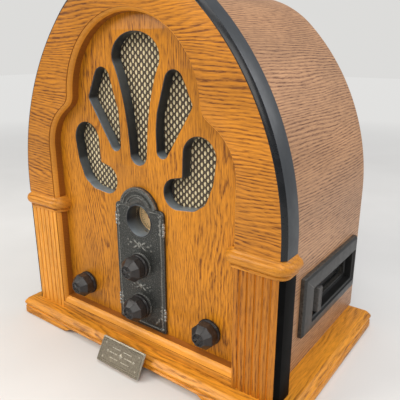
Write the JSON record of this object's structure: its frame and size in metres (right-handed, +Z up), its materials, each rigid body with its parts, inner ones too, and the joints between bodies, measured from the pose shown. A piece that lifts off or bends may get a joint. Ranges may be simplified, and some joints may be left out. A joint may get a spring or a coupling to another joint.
{
  "type": "cathedral radio",
  "caption": "Table-top cathedral radio: arched oak cabinet, shaped speaker openings, faceted knobs under a round dial, and a cassette slot on one side.",
  "frame": {"origin": "on the table, under the middle of the overall width and depth", "axes": "+X to the right of someone facing the front, -Y out of the front, +Z up"},
  "size_m": [0.296, 0.2006, 0.3151],
  "materials": {
    "oak_front": "satin lacquer, golden oak with a dark open grain",
    "oak_panel": "satin lacquer, vertical oak veneer",
    "oak_veneer": "glossy lacquer, oak veneer running front to back",
    "oak_base": "satin lacquer, oak",
    "black_trim": "satin black edge band",
    "back_board": "dark brown hardboard",
    "baffle_board": "black-stained board",
    "grille_weave": "woven dark and cream-gold cloth",
    "pewter": "antiqued dark metal with worn highlights",
    "plate_metal": "tarnished grey metal",
    "knob_brown": "moulded dark brown",
    "black_plastic": "moulded black",
    "grey_plastic": "moulded grey",
    "white_plastic": "moulded ivory",
    "clear_lens": "clear",
    "dial_card": "printed tan card",
    "pointer_red": "red lacquer",
    "zinc_steel": "zinc plated",
    "bright_steel": "polished",
    "brass_fittings": "plain brass",
    "vane_metal": "satin",
    "paper_cone": "pressed black paper, like a matt moulding",
    "ferrite": "ground grey",
    "board_green": "solder-masked circuit board",
    "core_steel": "varnished laminations",
    "cord_brown": "waxed cord",
    "soft_rubber": "matt",
    "felt_pad": "soft pads"
  },
  "bodies": {
    "cabinet": {"band_switch": "grey_plastic", "base_lower": "oak_base", "base_upper": "oak_base", "cabinet_shell": "oak_veneer", "capital_left": "oak_front", "capital_right": "oak_front", "cassette_bezel": "black_plastic", "control_nuts": "zinc_steel", "deck_chassis": "zinc_steel", "deck_motor": "zinc_steel", "dial_cord": "cord_brown", "dial_lens": "clear_lens", "dial_plate": "dial_card", "drive_belt": "soft_rubber", "edge_trim": "black_trim", "escutcheon": "pewter", "escutcheon_pins": "pewter", "foot_pads": "felt_pad", "front_frame": "oak_front", "front_panel": "oak_panel", "grille_cloth": "grille_weave", "main_board": "board_green", "nameplate": "plate_metal", "nameplate_wedge": "oak_base", "pilaster_left": "oak_front", "pilaster_right": "oak_front", "power_inlet": "black_plastic", "power_transformer": "core_steel", "rear_cover": "back_board", "rear_cover_screws": "zinc_steel", "sill_rail": "oak_front", "speaker_baffle": "baffle_board", "speaker_basket": "zinc_steel", "speaker_magnet": "ferrite", "speaker_screws": "zinc_steel", "tone_control": "grey_plastic", "tuning_bushing": "brass_fittings", "tuning_capacitor": "vane_metal", "volume_control": "grey_plastic"},
    "volume_knob": {"knob_volume": "knob_brown", "volume_shaft": "brass_fittings"},
    "tone_knob": {"knob_tone": "knob_brown", "tone_shaft": "brass_fittings"},
    "band_knob": {"knob_band": "knob_brown", "band_shaft": "brass_fittings"},
    "tuning_knob": {"knob_tuning": "knob_brown", "tuning_shaft": "brass_fittings"},
    "dial_wheel": {"dial_drum": "white_plastic", "dial_pointer": "pointer_red", "tuning_rotor": "vane_metal"},
    "cone": {"speaker_cone": "paper_cone"},
    "flap": {"cassette_flap": "black_plastic"},
    "eject": {"eject_button": "grey_plastic"},
    "supply_reel": {"supply_spindle": "white_plastic"},
    "takeup_reel": {"takeup_spindle": "white_plastic"},
    "flywheel": {"capstan_flywheel": "bright_steel"},
    "motor_rotor": {"motor_pulley": "brass_fittings"},
    "head_carriage": {"head_plate": "zinc_steel", "tape_head": "bright_steel"},
    "roller": {"pinch_roller": "soft_rubber"}
  },
  "joints": [
    {"name": "volume_turn", "type": "hinge", "parent": "cabinet", "child": "volume_knob", "pos_m": [-0.07, -0.07468, 0.048], "axis": [0, 1, 0], "range_deg": [0, 300]},
    {"name": "tone_turn", "type": "hinge", "parent": "cabinet", "child": "tone_knob", "pos_m": [0.07, -0.07468, 0.048], "axis": [0, 1, 0], "range_deg": [0, 300]},
    {"name": "band_turn", "type": "hinge", "parent": "cabinet", "child": "band_knob", "pos_m": [0, -0.07468, 0.048], "axis": [0, 1, 0], "range_deg": [0, 60]},
    {"name": "tuning_turn", "type": "hinge", "parent": "cabinet", "child": "tuning_knob", "pos_m": [0, -0.07468, 0.0855], "axis": [0, 1, 0], "range_deg": [0, 540]},
    {"name": "dial_turn", "type": "hinge", "parent": "cabinet", "child": "dial_wheel", "pos_m": [0, -0.07468, 0.125], "axis": [0, 1, 0], "range_deg": [0, 180]},
    {"name": "cone_travel", "type": "slide", "parent": "cabinet", "child": "cone", "axis": [0, 1, 0], "range_m": [-0.0008, 0.0008], "stiffness_N_per_m": 2000},
    {"name": "flap_swing", "type": "hinge", "parent": "cabinet", "child": "flap", "pos_m": [0.1158, 0.04732, 0.0736], "axis": [0, 1, 0], "range_deg": [0, 85], "stiffness_Nm_per_rad": 0.0005},
    {"name": "eject_press", "type": "slide", "parent": "cabinet", "child": "eject", "axis": [-1, 0, 0], "range_m": [0, 0.0035], "stiffness_N_per_m": 200},
    {"name": "supply_spin", "type": "hinge", "parent": "cabinet", "child": "supply_reel", "pos_m": [0.043, 0.04382, 0.05], "axis": [0, 0, 1], "continuous": true},
    {"name": "takeup_spin", "type": "hinge", "parent": "cabinet", "child": "takeup_reel", "pos_m": [0.0855, 0.04382, 0.05], "axis": [0, 0, 1], "continuous": true},
    {"name": "capstan_spin", "type": "hinge", "parent": "cabinet", "child": "flywheel", "pos_m": [0.044, 0.02032, 0.05], "axis": [0, 0, 1], "continuous": true},
    {"name": "motor_spin", "type": "hinge", "parent": "cabinet", "child": "motor_rotor", "pos_m": [0.098, 0.05932, 0.03], "axis": [0, 0, 1], "continuous": true},
    {"name": "head_engage", "type": "slide", "parent": "cabinet", "child": "head_carriage", "axis": [0, 1, 0], "range_m": [0, 0.006]},
    {"name": "roller_spin", "type": "hinge", "parent": "head_carriage", "child": "roller", "pos_m": [0.044, 0.00682, 0.06], "axis": [0, 0, 1], "continuous": true}
  ],
  "couplings": [
    {"joint": "dial_turn", "follows": "tuning_turn", "ratio": 0.33333},
    {"joint": "motor_spin", "follows": "capstan_spin", "ratio": 4.45}
  ]
}
